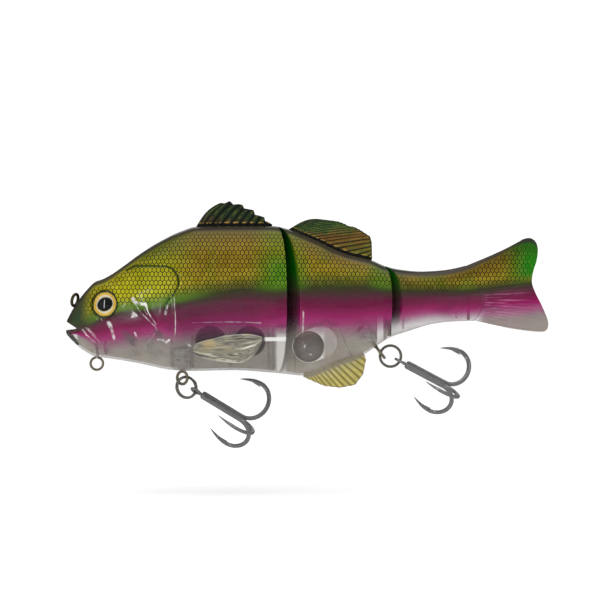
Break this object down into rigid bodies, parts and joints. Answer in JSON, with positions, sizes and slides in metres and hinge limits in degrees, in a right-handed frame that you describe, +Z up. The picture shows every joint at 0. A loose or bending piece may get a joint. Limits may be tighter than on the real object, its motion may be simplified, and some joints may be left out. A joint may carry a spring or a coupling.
{
  "type": "swimbait",
  "caption": "Clear, scale-painted sunfish-shaped fishing lure with a hinged three-piece body, plug-in tail, rattle ball and treble hooks on swivels.",
  "frame": {"origin": "centre of the nose line tie's wire loop, on the middle plane", "axes": "+X from nose to tail, +Y to the fish's right flank, +Z up toward the dorsal fins"},
  "size_m": [0.1904, 0.0312, 0.098],
  "materials": {
    "clear_shell": "clear moulded plastic, gold scale paint over a magenta band, gloss coat",
    "tinted_fin": "tinted clear plastic, gloss",
    "yellow_fin": "tinted clear plastic, gloss",
    "eye_foil": "foil print",
    "eye_dome": "clear dome",
    "stainless": "drawn wire",
    "black_nickel": "dark nickel plate",
    "steel_ball": "polished"
  },
  "bodies": {
    "front_section": {"front_shell_left": "clear_shell", "front_shell_right": "clear_shell", "left_eye_iris": "eye_foil", "right_eye_iris": "eye_foil", "left_eye_lens": "eye_dome", "right_eye_lens": "eye_dome", "nose_line_tie": "stainless", "chin_line_tie": "stainless", "front_dorsal_fin": "tinted_fin", "left_pectoral_fin": "clear_shell", "right_pectoral_fin": "clear_shell", "ballast_ball_1": "steel_ball", "ballast_ball_2": "steel_ball", "front_swivel_barrel": "stainless", "front_joint_lug_upper": "clear_shell", "front_joint_lug_lower": "clear_shell"},
    "middle_section": {"middle_shell_left": "clear_shell", "middle_shell_right": "clear_shell", "rear_dorsal_fin": "tinted_fin", "anal_fin": "yellow_fin", "front_joint_pin": "stainless", "rear_swivel_barrel": "stainless", "rear_joint_lug_upper": "clear_shell", "rear_joint_lug_lower": "clear_shell"},
    "rear_section": {"rear_shell_left": "clear_shell", "rear_shell_right": "clear_shell", "rear_joint_pin": "stainless", "tail_fin": "tinted_fin", "tail_pin": "stainless"},
    "rattle": {"rattle_ball": "steel_ball"},
    "front_swivel": {"front_swivel_eye": "stainless"},
    "front_ring": {"front_split_ring": "black_nickel"},
    "front_hook": {"front_treble_hook": "black_nickel"},
    "rear_swivel": {"rear_swivel_eye": "stainless"},
    "rear_ring": {"rear_split_ring": "black_nickel"},
    "rear_hook": {"rear_treble_hook": "black_nickel"}
  },
  "joints": [
    {"name": "front_body_hinge", "type": "hinge", "parent": "front_section", "child": "middle_section", "pos_m": [0.0826, 0, 0], "axis": [0, 0, 1], "range_deg": [-18, 18]},
    {"name": "rear_body_hinge", "type": "hinge", "parent": "middle_section", "child": "rear_section", "pos_m": [0.1242, 0, 0], "axis": [0, 0, 1], "range_deg": [-21, 21]},
    {"name": "rattle_roll", "type": "slide", "parent": "middle_section", "child": "rattle", "axis": [0.9432, 0, 0.3322], "range_m": [0, 0.005]},
    {"name": "front_swivel_spin", "type": "hinge", "parent": "front_section", "child": "front_swivel", "pos_m": [0.0424, 0, -0.0307], "axis": [0, 0, 1], "continuous": true},
    {"name": "front_ring_swing", "type": "hinge", "parent": "front_swivel", "child": "front_ring", "pos_m": [0.0424, 0, -0.0307], "axis": [0, 1, 0], "range_deg": [-2, 30]},
    {"name": "front_hook_swing", "type": "hinge", "parent": "front_ring", "child": "front_hook", "pos_m": [0.04762, 0.00154, -0.03598], "axis": [0, 1, 0], "range_deg": [-2, 20]},
    {"name": "rear_swivel_spin", "type": "hinge", "parent": "middle_section", "child": "rear_swivel", "pos_m": [0.1207, 0, -0.0208], "axis": [0.6101, 0, -0.7923], "continuous": true},
    {"name": "rear_ring_swing", "type": "hinge", "parent": "rear_swivel", "child": "rear_ring", "pos_m": [0.1207, 0, -0.0208], "axis": [0, 1, 0], "range_deg": [-5, 30]},
    {"name": "rear_hook_swing", "type": "hinge", "parent": "rear_ring", "child": "rear_hook", "pos_m": [0.12829, 0, -0.0241], "axis": [0, 1, 0], "range_deg": [-5, 30]}
  ]
}
